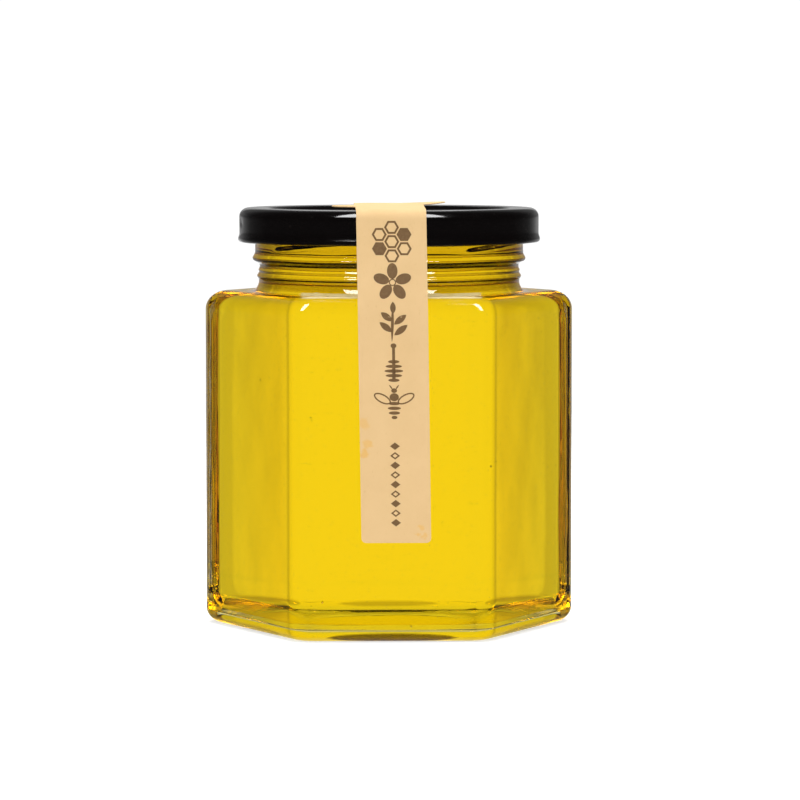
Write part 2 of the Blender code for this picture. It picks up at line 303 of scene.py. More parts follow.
def heel_rings():
    rings = []
    low_reach = HALF_FLATS - HEEL_RADIUS
    for share, height, depth in STANDING_RIM:
        rings.append(knurled_ring(PUSH_UP_RADIUS, low_reach, share, height * MM, depth * MM))
    for step in range(1, 19):
        angle = math.radians(90 * step / 18)
        reach = low_reach + HEEL_RADIUS * math.sin(angle)
        rings.append(hexagon_ring(reach, CORNER_RADIUS, HEEL_RADIUS * (1 - math.cos(angle))))
    return rings


def wall_rings(reach, corner_radius, low, high, count):
    heights = [blend_values(low, high, step / count) for step in range(1, count)]
    return [hexagon_ring(reach, corner_radius, height) for height in heights]


def shoulder_rings():
    rings = []
    for step in range(13):
        angle = math.radians(86 * step / 12)
        reach = HALF_FLATS - SHOULDER_RADIUS * (1 - math.cos(angle))
        height = SHOULDER_HEIGHT - SHOULDER_RADIUS * (1 - math.sin(angle))
        rings.append(hexagon_ring(reach, CORNER_RADIUS, height))
    return rings


def lip_rings():
    rings = []
    for step in range(7):
        angle = math.radians(90 * step / 6)
        radius = LIP_RADIUS - LIP_ROUNDING * (1 - math.cos(angle))
        rings.append(round_ring(radius, LIP_HEIGHT - LIP_ROUNDING * (1 - math.sin(angle))))
    for step in range(1, 6):
        angle = math.radians(90 + 90 * step / 5)
        radius = BORE_RADIUS + 0.8 * MM * (1 + math.cos(angle))
        rings.append(round_ring(radius, LIP_HEIGHT - 0.8 * MM * (1 - math.sin(angle))))
    return rings


def inner_rings(grow):
    """Rings of the inner wall from below the lip down to the middle of the floor, moved into the glass."""
    rings = []
    ceiling = SHOULDER_HEIGHT - WALL + grow
    for height in (86.5, 84, 81, 78, 75.5, 74):
        rings.append(round_ring(BORE_RADIUS + grow, height * MM))
    top = hexagon_ring(HALF_FLATS - WALL - INNER_EDGE_RADIUS + grow, INNER_CORNER_RADIUS, ceiling - 0.3 * MM)
    flare = [(0.06, 73.2), (0.2, 72.4), (0.42, 71.6), (0.72, 70.9)]
    for share, height in flare:
        ring = []
        for a, b in zip(round_ring(BORE_RADIUS + grow, height * MM), top):
            point = a.lerp(b, share**1.6)
            point.z = height * MM + grow * share
            ring.append(point)
        rings.append(ring)
    edge = INNER_EDGE_RADIUS
    half_flats = HALF_FLATS - WALL + grow
    for step in range(1, 13):
        angle = math.radians(90 - 90 * step / 12)
        reach = half_flats - edge * (1 - math.cos(angle))
        rings.append(hexagon_ring(reach, INNER_CORNER_RADIUS, ceiling - edge * (1 - math.sin(angle))))
    floor = FLOOR - grow
    heel = INNER_HEEL_RADIUS
    rings += wall_rings(half_flats, INNER_CORNER_RADIUS, ceiling - edge, floor + heel, 14)
    for step in range(13):
        angle = math.radians(90 * step / 12)
        reach = half_flats - heel * (1 - math.cos(angle))
        rings.append(hexagon_ring(reach, INNER_CORNER_RADIUS, floor + heel * (1 - math.sin(angle))))
    middle = round_ring(20 * MM, floor + 0.2 * MM)
    rings += between_rings(rings[-1], middle, 4)
    rings.append(middle)
    for radius, rise in ((15, 0.32), (10, 0.42), (5, 0.48), (1.2, 0.5)):
        rings.append(round_ring(radius * MM, floor + rise * MM))
    return rings


# Lofting

def loft(name, rings, inner_from=None):
    """A closed skin: a filled circle whose rim is extruded once for each ring and laid on its points."""
    deselect_all()
    columns = len(rings[0])
    bpy.ops.mesh.primitive_circle_add(vertices=columns, radius=1 * MM, fill_type="TRIFAN")
    piece = bpy.context.object
    piece.name = name
    piece.data.name = name
    bpy.ops.object.mode_set(mode="EDIT")
    bpy.ops.mesh.select_mode(type="EDGE")
    mesh = bmesh.from_edit_mesh(piece.data)
    column_of = mesh.verts.layers.int.new("column")
    mesh.faces.layers.float.new("wetted")
    for vertex in mesh.verts:
        turn = math.atan2(vertex.co.y, vertex.co.x) % math.tau
        vertex[column_of] = round(turn / math.tau * columns) % columns
    for edge in mesh.edges:
        edge.select_set(edge.is_boundary)
    middle = min(mesh.verts, key=lambda vertex: vertex.co.length)
    middle.co.z = rings[0][0].z
    for vertex in mesh.verts:
        if vertex != middle:
            vertex.co = rings[0][vertex[column_of]]
    bmesh.update_edit_mesh(piece.data)
    for count, ring in enumerate(rings[1:], start=1):
        bpy.ops.mesh.extrude_region()
        mesh = bmesh.from_edit_mesh(piece.data)
        column_of = mesh.verts.layers.int["column"]
        wetted = mesh.faces.layers.float["wetted"]
        for vertex in mesh.verts:
            if vertex.select:
                vertex.co = ring[vertex[column_of]]
                for face in vertex.link_faces:
                    face[wetted] = float(inner_from is not None and count >= inner_from)
    bpy.ops.mesh.edge_face_add()
    bpy.ops.mesh.poke()
    mesh = bmesh.from_edit_mesh(piece.data)
    wetted = mesh.faces.layers.float["wetted"]
    for face in mesh.faces:
        if face.select:
            face[wetted] = float(inner_from is not None)
    mesh.verts.layers.int.remove(mesh.verts.layers.int["column"])
    bpy.ops.mesh.select_all(action="SELECT")
    bpy.ops.mesh.normals_make_consistent(inside=False)
    bpy.ops.object.mode_set(mode="OBJECT")
    bpy.ops.object.shade_smooth()
    return piece


def settle_glass(piece):
    """The slight unevenness of pressed and blown glass, least where the jar stands."""
    for vertex in piece.data.vertices:
        place = vertex.co
        away = Vector((place.x, place.y, 0))
        if away.length < 5 * MM:
            continue
        wave = noise.noise(place / (17 * MM)) + 0.5 * noise.noise(place / (7 * MM) + Vector((9, 4, 1)))
        ease = smooth_step(place.z / (6 * MM)) * smooth_step((LIP_HEIGHT - place.z) / (6 * MM))
        vertex.co = place + away.normalized() * (wave * 0.028 - 0.03) * MM * ease


def store_marks(piece, name, share_at):
    """Stores a share with each point of the mesh, worked out from its place."""
    marks = piece.data.attributes.new(name, "FLOAT", "POINT")
    for vertex, mark in zip(piece.data.vertices, marks.data):
        mark.value = share_at(vertex.co)


def painted_hollow_shade_share(place):
    """A low lens of painted shade on each side of the heel, standing in for the dark hollow under the base seen
    through it.
    """
    facing = math.radians(60 * math.floor(math.degrees(math.atan2(place.y, place.x)) / 60) + 30)
    along = -place.x * math.sin(facing) + place.y * math.cos(facing)
    out = place.x * math.cos(facing) + place.y * math.sin(facing)
    if out < HALF_FLATS - 0.9 * HEEL_RADIUS or place.z > HEEL_RADIUS:
        return 0.0
    length, middle, half, strength = PAINTED_SHADE_OTHERS
    if abs(facing + math.pi / 2) < 0.1:
        length, middle, half, strength = PAINTED_SHADE_FRONT
    if abs(facing - math.pi / 2) < 0.1:
        length, middle, half, strength = PAINTED_SHADE_BACK
    swell = 1 - (along / length) ** 2
    if swell <= 0:
        return 0.0
    from_edge = half * math.sqrt(swell) - abs(place.z - middle)
    return strength * smooth_step(from_edge / (0.35 * MM) + 0.5)


def painted_shoulder_reflection_share(place):
    """The flat of the shoulder, away from the front, with a painted reflection: a tint for the honey's glow,
    which it mirrors more than the room.
    """
    if place.z < SHOULDER_HEIGHT - 1.2 * MM or math.hypot(place.x, place.y) < 31 * MM:
        return 0.0
    level = smooth_step((place.z - SHOULDER_HEIGHT + 1.0 * MM) / (0.6 * MM))
    return level * smooth_step((place.y + 31 * MM) / (3 * MM))


def residue_and_painted_highlight_share(place):
    """The pale film on the front shoulder, partly dried honey and partly a painted highlight: in the groove at
    the neck's foot and along the front edge.
    """
    out = math.hypot(place.x, place.y)
    on_shoulder = SHOULDER_HEIGHT - 2.5 * MM < place.z < SHOULDER_HEIGHT + 0.6 * MM
    if not on_shoulder or place.y > -18 * MM or out < 29.3 * MM:
        return 0.0
    level = smooth_step((place.z - SHOULDER_HEIGHT + 0.45 * MM) / (0.3 * MM))
    groove = smooth_step((30.25 * MM - out) / (0.3 * MM))
    rim = smooth_step((-31.7 * MM - place.y) / (0.4 * MM))
    ends = smooth_step((19.6 * MM - abs(place.x)) / (0.8 * MM))
    return RESIDUE_AND_PAINTED_HIGHLIGHT * level * ends * max(groove, rim, 0.15)


def make_glass():
    outer = push_up_rings() + heel_rings()
    outer += wall_rings(HALF_FLATS, CORNER_RADIUS, HEEL_RADIUS, SHOULDER_HEIGHT - SHOULDER_RADIUS, 20)
    outer += shoulder_rings()
    neck_foot = neck_ring(NECK_SIDE[0][0] * MM, NECK_SIDE[0][1] * MM)
    outer += between_rings(outer[-1], neck_foot, 4)
    side = smooth_line(NECK_SIDE, 3)
    outer += [neck_ring(radius * MM, height * MM) for radius, height in side]
    outer += lip_rings()
    piece = loft("jar_glass", outer + inner_rings(0.0), inner_from=len(outer))
    settle_glass(piece)
    store_marks(piece, "painted_push_up_shade", painted_hollow_shade_share)
    store_marks(piece, "painted_shoulder_reflection", painted_shoulder_reflection_share)
    store_marks(piece, "residue_and_painted_highlight", residue_and_painted_highlight_share)
    piece.data.materials.append(soda_lime_glass())
    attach(piece, "root")
    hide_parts("glass_jar")


def make_honey():
    """The contents: they fill the jar and reach just into its wall, so no air gap shows."""
    surface = [round_ring(radius * MM, HONEY_LEVEL) for radius in (1.2, 10, 20, 25)]
    surface.append(round_ring(BORE_RADIUS + WETTING - 0.3 * MM, HONEY_LEVEL + 0.05 * MM))
    surface.append(round_ring(BORE_RADIUS + WETTING, HONEY_LEVEL + 0.15 * MM))
    piece = loft("honey_fill", surface + inner_rings(WETTING))
    piece.data.materials.append(acacia_honey())
    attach(piece, "root")
    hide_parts("honey")


# Lid

def arc(centre_radius, centre_height, radius, start, end, steps):
    """Profile points on an arc in the turned plane, with angles in degrees from outwards towards up."""
    points = []
    for step in range(steps + 1):
        angle = math.radians(blend_values(start, end, step / steps))
        points.append((centre_radius + radius * math.cos(angle), centre_height + radius * math.sin(angle)))
    return points


def lid_side():
    """The section of the lid from the middle of the panel, over the rim, round the curl and back inside."""
    panel_top = LID_TOP - PANEL_DEPTH
    edge_centre = LID_RADIUS - LID_EDGE_RADIUS
    edge_height = LID_TOP - LID_EDGE_RADIUS
    profile = [(r * MM, panel_top) for r in (1, 8, 16, 22)]
    profile += [(r * MM, z * MM) for r, z in smooth_line(PANEL_FOOT, 3)]
    profile += [(r * MM, LID_TOP) for r in (28.4, 29.6)]
    profile += arc(edge_centre, edge_height, LID_EDGE_RADIUS, 90, 0, 14)
    profile += [(LID_RADIUS, z * MM) for z in (89.1, 88.7, 88.3, 87.9, 87.5, 87.0, 86.4)]
    profile += [(33.03 * MM, 85.9 * MM), (33.12 * MM, 85.5 * MM)]
    profile += arc(CURL_CENTRE_RADIUS, CURL_CENTRE_HEIGHT, CURL_HALF, 25, -200, 16)
    profile += [(LID_RADIUS - LID_SHEET, z * MM) for z in (85.9, 87.5, 89.0)]
    profile += arc(edge_centre, edge_height, LID_EDGE_RADIUS - LID_SHEET, 20, 60, 3)
    profile += [(30.4 * MM, 90.2 * MM), (26.6 * MM, 90.2 * MM), (25.4 * MM, 89.9 * MM)]
    profile += [(r * MM, 89.9 * MM) for r in (18, 9, 1)]
    return profile


def lug_share(turn):
    """How deep in a lug a turn about the axis is, from 0 outside to 1 in the middle."""
    from_front = turn + math.pi / 2
    deepest = 0.0
    for count in range(THREAD_COUNT):
        middle = THREAD_LOW_END + THREAD_SPAN - math.radians(5) + count * math.tau / THREAD_COUNT
        away = (from_front - middle + math.pi) % math.tau - math.pi
        deepest = max(deepest, bump(away, math.radians(9)))
    return deepest


def press_lugs(piece):
    """Presses the curl inwards under the threads in four places, waves it, and dents the side a little."""
    for vertex in piece.data.vertices:
        place = vertex.co
        turn = math.atan2(place.y, place.x)
        dent = bump(turn - DENT_TURN, math.radians(4.5)) * bump(place.z - DENT_HEIGHT, 1.4 * MM)
        place.x *= 1 - DENT_DEPTH * dent / LID_RADIUS
        place.y *= 1 - DENT_DEPTH * dent / LID_RADIUS
        low = smooth_step((86.6 * MM - place.z) / (2 * MM))
        if low <= 0:
            continue
        radius = math.hypot(place.x, place.y)
        pressed = lug_share(turn)
        depth = LUG_DEPTH_INSIDE if radius < CURL_CENTRE_RADIUS else LUG_DEPTH_OUTSIDE
        radius -= depth * pressed * low
        wave = noise.noise(Vector((2.6 * math.cos(turn), 2.6 * math.sin(turn), 3.1)))
        place.z += (0.16 * wave + 0.14) * MM * low
        place.x = radius * math.cos(turn)
        place.y = radius * math.sin(turn)


def make_lid():
    rings = [round_ring(radius, height, LID_COLUMNS) for radius, height in lid_side()]
    piece = loft("lid_shell", rings)
    press_lugs(piece)
    piece.data.materials.append(black_lacquer())
    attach(piece, "root")
    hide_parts("metal_lid")


# Paper seal

def seal_tip(out, end, lap):
    """Rows of a rounded tip from its lowest point up: y, z, half width, and lap round the rim."""
    rows = []
    for step in range(7):
        angle = math.radians(90 * step / 6)
        height = end + SEAL_CORNER_RADIUS * (1 - math.cos(angle))
        inset = SEAL_CORNER_RADIUS * (1 - math.sin(angle))
        rows.append((out, height, SEAL_HALF_WIDTH - inset, lap))
    return rows


def seal_drop(gap):
    """Rows of the front end: up the glass, across to the curl and up the side of the lid."""
    face = HALF_FLATS + gap
    face_top = SHOULDER_HEIGHT - SHOULDER_RADIUS
    curl = CURL_CENTRE_RADIUS + CURL_HALF + gap
    rows = seal_tip(-face, SEAL_FRONT_END, 0.0)
    low = rows[-1][1]
    steps = round((face_top - low) / (1.2 * MM))
    for step in range(1, steps):
        rows.append((-face, blend_values(low, face_top, step / steps), SEAL_HALF_WIDTH, 0.0))
    for step in range(14):
        share = step / 13
        out = blend_values(face, curl, smooth_step(share) * 0.35 + share * 0.65)
        rows.append((-out, blend_values(face_top, CURL_CENTRE_HEIGHT, share), SEAL_HALF_WIDTH, share))
    rows.append((-(LID_RADIUS + gap + 0.08 * MM), 87.0 * MM, SEAL_HALF_WIDTH, 1.0))
    return rows


def seal_bend(side, gap):
    """Rows of the bend over the rim of the lid, from its side up to its top."""
    edge_centre = LID_RADIUS - LID_EDGE_RADIUS
    edge_height = LID_TOP - LID_EDGE_RADIUS
    bend = arc(edge_centre, edge_height, LID_EDGE_RADIUS + gap, 0, 90, 10)
    return [(side * out, height, SEAL_HALF_WIDTH, 1.0) for out, height in bend]


def seal_crown(gap):
    """Points of the stretch across the lid, slightly arched, with the round middle."""
    rows = []
    for step in range(61):
        along = SEAL_CROWN_REACH * (2 * step / 60 - 1)
        round_width = math.sqrt(max(0.0, SEAL_DISC_RADIUS**2 - along**2))
        rise = SEAL_RISE * math.cos(math.pi / 2 * along / SEAL_CROWN_REACH) ** 2
        lap = (along / (LID_RADIUS - LID_EDGE_RADIUS)) ** 2
        rows.append((along, LID_TOP + gap + rise, max(SEAL_HALF_WIDTH, round_width), lap))
    return rows


def seal_line(gap):
    back_tip = seal_tip(LID_RADIUS + gap, SEAL_BACK_END, 1.0)
    back = seal_bend(1, gap)[::-1] + back_tip[::-1]
    return seal_drop(gap) + seal_bend(-1, gap) + seal_crown(gap) + back


def seal_place(row, across):
    """The point of the paper at a row and a distance to the right of its middle."""
    y, z, half_width, lap = row
    bend = lap * across**2 / (2 * LID_RADIUS)
    slant = SEAL_SLANT * (LID_TOP - min(z, LID_TOP)) if y < 0 else 0.0
    nearness = max(0.0, 1 - abs(y) / (LID_RADIUS - LID_EDGE_RADIUS))
    x = SEAL_TOP_OFFSET + across + slant
    y -= math.copysign(bend, y)
    z += SEAL_TWIST * across * min(1.0, 2 * nearness)
    return Vector((x, y, z))


def paper_waves(across, run):
    """How far the paper stands off what carries it, at a distance across it and a length along it."""
    wave = noise.noise(Vector((across / (9 * MM), run / (14 * MM), 2.0)))
    return 0.05 * MM * (wave + 0.6)


def lengths_along(rows):
    runs = [0.0]
    for first, second in zip(rows, rows[1:]):
        runs.append(runs[-1] + math.hypot(second[0] - first[0], second[1] - first[1]))
    return runs


def make_seal():
    rows = seal_line(SEAL_LIFT)
    runs = lengths_along(rows)
    columns = 16
    deselect_all()
    bpy.ops.mesh.primitive_grid_add(x_subdivisions=columns, y_subdivisions=len(rows) - 1, size=1)
    piece = bpy.context.object
    piece.name = "seal_paper"
    piece.data.name = "seal_paper"
    for vertex in piece.data.vertices:
        row = round((vertex.co.y + 0.5) * (len(rows) - 1))
        across = 2 * vertex.co.x * rows[row][2]
        place = seal_place(rows[row], across)
        out = seal_outward(rows, row)
        vertex.co = place + out * paper_waves(across, runs[row])
    deselect_all()
    piece.select_set(True)
    bpy.context.view_layer.objects.active = piece
    edit_all()
    bpy.ops.mesh.normals_make_consistent(inside=False)
    mesh = bmesh.from_edit_mesh(piece.data)
    top_face = max(mesh.faces, key=lambda face: face.calc_center_median().z)
    if top_face.normal.z < 0:
        bpy.ops.mesh.flip_normals()
    bpy.ops.object.mode_set(mode="OBJECT")
    thicken(piece, "Paper thickness", SEAL_PAPER, 1.0)
    bpy.ops.object.shade_smooth_by_angle(angle=math.radians(40))
    piece.data.materials.append(kraft_paper())
    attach(piece, "root")
    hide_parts("paper_seal")


def seal_outward(rows, row):
    """Square to the paper, away from the jar, in the plane of its length."""
    before = rows[max(0, row - 1)]
    after = rows[min(len(rows) - 1, row + 1)]
    along = Vector((0, after[0] - before[0], after[1] - before[1]))
    if along.length < 1e-9:
        return Vector((0, 0, 1))
    along.normalize()
    return Vector((0, -along.z, along.y))


def lay_on_seal(piece, start):
    """Wraps a flat drawing over the paper: x across it, y along it from its front tip, z above its face."""
    rows = seal_line(SEAL_LIFT)
    runs = lengths_along(rows)
    for vertex in piece.data.vertices:
        across, along, above = vertex.co
        run = start + along
        row = max(1, next((i for i, length in enumerate(runs) if length >= run), len(runs) - 1))
        share = (run - runs[row - 1]) / max(1e-9, runs[row] - runs[row - 1])
        low = seal_place(rows[row - 1], across)
        high = seal_place(rows[row], across)
        out = seal_outward(rows, row - 1).lerp(seal_outward(rows, row), share).normalized()
        stand = SEAL_PAPER + paper_waves(across, run) + above
        vertex.co = low.lerp(high, share) + out * stand


# Print on the seal

def flat_shape(points):
    """A flat filled outline in millimetres, as a new object drawn from a circle with as many corners."""
    deselect_all()
    bpy.ops.mesh.primitive_circle_add(vertices=len(points), radius=1 * MM, fill_type="NGON")
    shape = bpy.context.object
    turns = sorted(shape.data.vertices, key=lambda vertex: math.atan2(vertex.co.y, vertex.co.x) % math.tau)
    for vertex, (x, y) in zip(turns, points):
        vertex.co = (x * MM, y * MM, 0)
    return shape


def turned(x, y, along, across, turn):
    """The point that far from x, y in a direction given in degrees, and across it."""
    cos, sin = math.cos(math.radians(turn)), math.sin(math.radians(turn))
    return x + along * cos - across * sin, y + along * sin + across * cos


def ellipse_points(x, y, half_width, half_height, turn=0.0):
    angles = [math.tau * step / 20 for step in range(20)]
    return [turned(x, y, half_width * math.cos(a), half_height * math.sin(a), turn) for a in angles]


def leaf_points(x, y, length, width, turn):
    """A pointed leaf from its stalk end, turned in degrees from across."""
    points = []
    for side, steps in ((-1, range(0, 11)), (1, range(9, 0, -1))):
        for step in steps:
            across = side * width / 2 * math.sin(math.pi * step / 10) ** 0.8
            points.append(turned(x, y, length * step / 10, across, turn))
    return points


def bar_points(low, high, width):
    return [(-width / 2, low), (width / 2, low), (width / 2, high), (-width / 2, high)]


def oval(*form):
    return flat_shape(ellipse_points(*form))


def leaf(*form):
    return flat_shape(leaf_points(*form))


def open_shape(points, line):
    """A filled outline whose middle is inset and taken out, which leaves a line of that width."""
    shape = flat_shape(points)
    edit_all()
    bpy.ops.mesh.inset(thickness=line * MM, depth=0)
    bpy.ops.mesh.delete(type="FACE")
    bpy.ops.object.mode_set(mode="OBJECT")
    return shape


def comb_motif(y):
    """Seven cells of comb, two of them filled."""
    shapes = []
    size = 1.75
    centres = [(0, y)] + [turned(0, y, size * math.sqrt(3), 0, 60 * step + 30) for step in range(6)]
    for count, centre in enumerate(centres):
        corners = [turned(*centre, size - 0.16, 0, 60 * corner) for corner in range(6)]
        shapes.append(flat_shape(corners) if count in (1, 4) else open_shape(corners, 0.42))
    return shapes


def blossom_motif(y):
    shapes = []
    for step in range(5):
        angle = 90 + 72 * step
        shapes.append(oval(*turned(0, y, 2.45, 0, angle), 1.7, 1.12, angle))
    shapes.append(open_shape(ellipse_points(0, y, 0.78, 0.78), 0.24))
    return shapes


def sprig_motif(y):
    shapes = [leaf(-0.3, y - 4.1, 8.0, 0.62, 88)]
    for height, length, side in ((-2.6, 3.6, 1), (-1.9, 3.4, -1), (-0.3, 3.3, 1), (0.4, 3.0, -1)):
        shapes.append(leaf(side * 0.2, y + height, length, 1.35, 90 - side * 52))
    shapes.append(leaf(0, y + 1.9, 2.6, 1.2, 90))
    return shapes


def dipper_motif(y):
    """A wooden honey dipper: rounded ribs on a core, and a straight handle with a knob."""
    shapes = []
    for count, width in enumerate((1.2, 1.75, 2.0, 1.75, 1.2)):
        shapes.append(oval(0, y - 3.5 + 0.98 * count, width, 0.36))
    shapes.append(flat_shape(bar_points(y - 3.3, y + 0.4, 0.7)))
    shapes.append(flat_shape(bar_points(y + 0.4, y + 3.5, 0.62)))
    shapes.append(oval(0, y + 3.8, 0.62, 0.52))
    return shapes


def bee_motif(y):
    shapes = []
    for height, width in ((-2.7, 0.62), (-1.75, 1.2), (-0.75, 1.4), (0.25, 1.2)):
        shapes.append(oval(0, y + height, width, 0.36))
    shapes.append(oval(0, y + 1.6, 1.0, 0.85))
    shapes.append(oval(0, y + 3.0, 0.62, 0.5))
    for side in (-1, 1):
        shapes.append(open_shape(ellipse_points(side * 2.5, y + 1.3, 2.0, 0.95, side * 28), 0.3))
        shapes.append(leaf(side * 0.3, y + 3.2, 1.3, 0.3, 90 - side * 35))
    return shapes


def lozenge_row(low, high, count):
    shapes = []
    for step in range(count):
        y = blend_values(low, high, step / (count - 1))
        corners = [(1.05, y), (0, y + 0.8), (-1.05, y), (0, y - 0.8)]
        shapes.append(open_shape(corners, 0.3) if step % 2 else flat_shape(corners))
    return shapes


# The drawings, and how far up from the seal's front tip the middle of each is, in millimetres
PRINT = (
    (comb_motif, 64.0), (blossom_motif, 55.3), (sprig_motif, 46.7), (dipper_motif, 38.1), (bee_motif, 29.4)
)


def make_print():
    """Brown drawings down the front of the seal, with a row of lozenges under them."""
    shapes = []
    for motif, height in PRINT:
        shapes += motif(height)
    shapes += lozenge_row(4.3, 20.6, 9)
    piece = join_shapes(shapes, "seal_print")
    edit_all()
    bpy.ops.mesh.normals_make_consistent(inside=False)
    mesh = bmesh.from_edit_mesh(piece.data)
    for face in mesh.faces:
        face.normal_update()
        if face.normal.z < 0:
            face.normal_flip()
    bmesh.update_edit_mesh(piece.data)
    bpy.ops.mesh.quads_convert_to_tris()
    bpy.ops.mesh.subdivide(number_cuts=1)
    bpy.ops.object.mode_set(mode="OBJECT")
    for vertex in piece.data.vertices:
        vertex.co.z = 0.012 * MM
    thicken(piece, "Ink", 0.02 * MM, -1.0)
    lay_on_seal(piece, 0.0)
    piece.data.materials.append(brown_ink())
    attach(piece, "root")


# Bubbles

def make_bubbles():
    """Small seeds in the glass and bubbles in the honey, where the photograph shows specks."""
    rng = random.Random(7)
    places = [
        ((-26.0, -18.5, 55.0), 0.22), ((-23.5, -20.6, 55.6), 0.16), ((-17.2, -33.9, 48.0), 0.2),
        ((20.9, -33.9, 37.5), 0.24), ((31.6, -14.4, 68.0), 0.18), ((32.3, -13.2, 65.0), 0.16),
        ((-14.8, -33.9, 8.6), 0.22), ((4.1, -33.9, 3.4), 0.2),
    ]
    for count in range(26):
        turn = rng.uniform(0, math.tau)
        reach = rng.uniform(4, 29)
        place = (reach * math.cos(turn), reach * math.sin(turn), rng.uniform(9, 66))
        places.append((place, rng.uniform(0.06, 0.14)))
    bubbles = []
    for place, radius in places:
        deselect_all()
        bpy.ops.mesh.primitive_ico_sphere_add(subdivisions=2, radius=radius * MM, location=Vector(place) * MM)
        bubbles.append(bpy.context.object)
        edit_all()
        bpy.ops.transform.resize(value=(1, 1, rng.uniform(0.75, 1.35)))
        bpy.ops.object.mode_set(mode="OBJECT")
    piece = join_shapes(bubbles, "small_bubbles")
    bpy.ops.object.transform_apply(location=True, rotation=True, scale=True)
    bpy.ops.object.shade_smooth()
    piece.data.materials.append(trapped_air())
    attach(piece, "root")


# Materials

def linear(hex_colour):
    """An sRGB hex colour as linear red, green, blue and alpha."""
    values = []
    for start in (0, 2, 4):
        value = int(hex_colour[start:start + 2], 16) / 255
        values.append(value / 12.92 if value <= 0.04045 else ((value + 0.055) / 1.055) ** 2.4)
    return (*values, 1.0)


def add_node(owner, kind, inputs=(), output=0, **settings):
    """Adds a shader node with its settings and links, and gives back one of its outputs.

    Each input is a value or the output that feeds it, and they come in order or by name.
    """
    node = owner.node_tree.nodes.new("ShaderNode" + kind)
    for name, value in settings.items():
        setattr(node, name, value)
    for name, value in inputs.items() if isinstance(inputs, dict) else enumerate(inputs):
        if isinstance(value, bpy.types.NodeSocket):
            owner.node_tree.links.new(value, node.inputs[name])
        else:
            node.inputs[name].default_value = value
    return node.outputs[output] if node.outputs else None


# How a Mix node is set to mix colours, and the number of its output that holds them
COLOURS = {"data_type": "RGBA", "output": 2}


def empty_material(name):
    material = bpy.data.materials.new(name)
    material.use_nodes = True
    material.node_tree.nodes.clear()
    return material


# Painted light in the glass's colour: a painted glow low at its foot, painted shade of the push-up on the heel,
# and a painted reflection on the flat of the shoulder
PAINTED_FOOT_GLOW = (1.0, 0.97, 0.5, 1)
PAINTED_HOLLOW_SHADE = (0.2, 0.16, 0.3, 1)
PAINTED_SHOULDER_REFLECTION = (1.0, 0.93, 0.66, 1)

# One index for glass and honey, so that no light is caught between them
GLASS_INDEX = 1.52


def soda_lime_glass():
    """Moulded soda-lime glass: clear, smooth and faintly uneven, a little dusty, and grey where it is thick,
    with painted glow, shade, reflection and highlight in its colour.

    Its inner side is wetted by honey, so light passes there with no reflection of its own.
    """
    material = empty_material("soda_lime_glass")
    place = add_node(material, "TexCoord", output="Object")
    height = add_node(material, "SeparateXYZ", (place,), "Z")
    marks = []
    for name in ("painted_push_up_shade", "painted_shoulder_reflection", "residue_and_painted_highlight", "wetted"):
        marks.append(add_node(material, "Attribute", (), "Fac", attribute_type="GEOMETRY", attribute_name=name))
    hollow_painted_shade, painted_reflection, residue_and_painted_highlight, wetted = marks
    # Painted glow: the foot is tinted yellow, standing in for the honey's light coming through it
    painted_foot_tint = add_node(material, "MapRange", (height, 2.2 * MM, 3.6 * MM, 1.0, 0.0))
    colour = (1, 1, 1, 1)
    for share, tint in ((painted_foot_tint, PAINTED_FOOT_GLOW), (hollow_painted_shade, PAINTED_HOLLOW_SHADE), (painted_reflection, PAINTED_SHOULDER_REFLECTION)):
        colour = add_node(material, "Mix", {"Factor": share, "A": colour, "B": tint}, **COLOURS)
    frost = add_node(material, "MapRange", (height, 0.9 * MM, 1.6 * MM, 0.3, 0.0))
    soft = {"Vector": place, "Detail": 2.0, "Roughness": 0.5}
    waves = add_node(material, "TexNoise", {"Scale": 1 / (9 * MM), **soft})
    relief = add_node(material, "Bump", {"Height": waves, "Strength": 0.25, "Distance": 0.06 * MM})
    looks = {"IOR": GLASS_INDEX, "Color": colour, "Roughness": frost, "Normal": relief}
    glass = add_node(material, "BsdfGlass", looks)
    specks = add_node(material, "TexVoronoi", {"Vector": place, "Scale": 1 / (1.1 * MM), "Randomness": 1.0})
    specks = add_node(material, "MapRange", (specks, 0.05, 0.12, 0.5, 0.004))
    dust = add_node(material, "BsdfDiffuse", {"Color": linear("8C7A4A"), "Roughness": 1.0})
    dusty = add_node(material, "MixShader", (specks, glass, dust))
    # Pale film on the front shoulder: dried honey in part, and a painted highlight along its front edge and in
    # the groove at the neck's foot
    patches = add_node(material, "TexNoise", {"Scale": 1 / (4 * MM), **soft})
    patches = add_node(material, "MapRange", (patches, 0.3, 0.5, 0.6, 1.0))
    covered = add_node(material, "Math", (residue_and_painted_highlight, patches), operation="MULTIPLY")
    film_and_painted_highlight = add_node(material, "BsdfDiffuse", {"Color": linear("F6ECCB"), "Roughness": 1.0})
    outside = add_node(material, "MixShader", (covered, dusty, film_and_painted_highlight))
    clear = {"Color": (1, 1, 1, 1), "Roughness": 0.0, "IOR": GLASS_INDEX}
    inside = add_node(material, "BsdfRefraction", clear)
    surface = add_node(material, "MixShader", (wetted, outside, inside))
    tint = add_node(material, "VolumeAbsorption", {"Color": (0.62, 0.52, 0.25, 1), "Density": 15.0})
    add_node(material, "OutputMaterial", {"Surface": surface, "Volume": tint})
    return material


# Colour that light takes on at the surface of the honey, on top of what it takes on inside: the face's is the
# honey's own, and the darker flank, neck, neck-foot and edge-on colours are painted shade
HONEY_FACE = (1.0, 0.95, 0.33, 1)
HONEY_FLANK_PAINTED_SHADE = (0.99, 0.91, 0.22, 1)
HONEY_NECK_PAINTED_SHADE = (0.83, 0.72, 0.17, 1)
HONEY_NECK_FOOT_PAINTED_SHADE = (0.5, 0.4, 0.06, 1)
HONEY_EDGE_ON_PAINTED_SHADE = (0.42, 0.33, 0.1, 1)


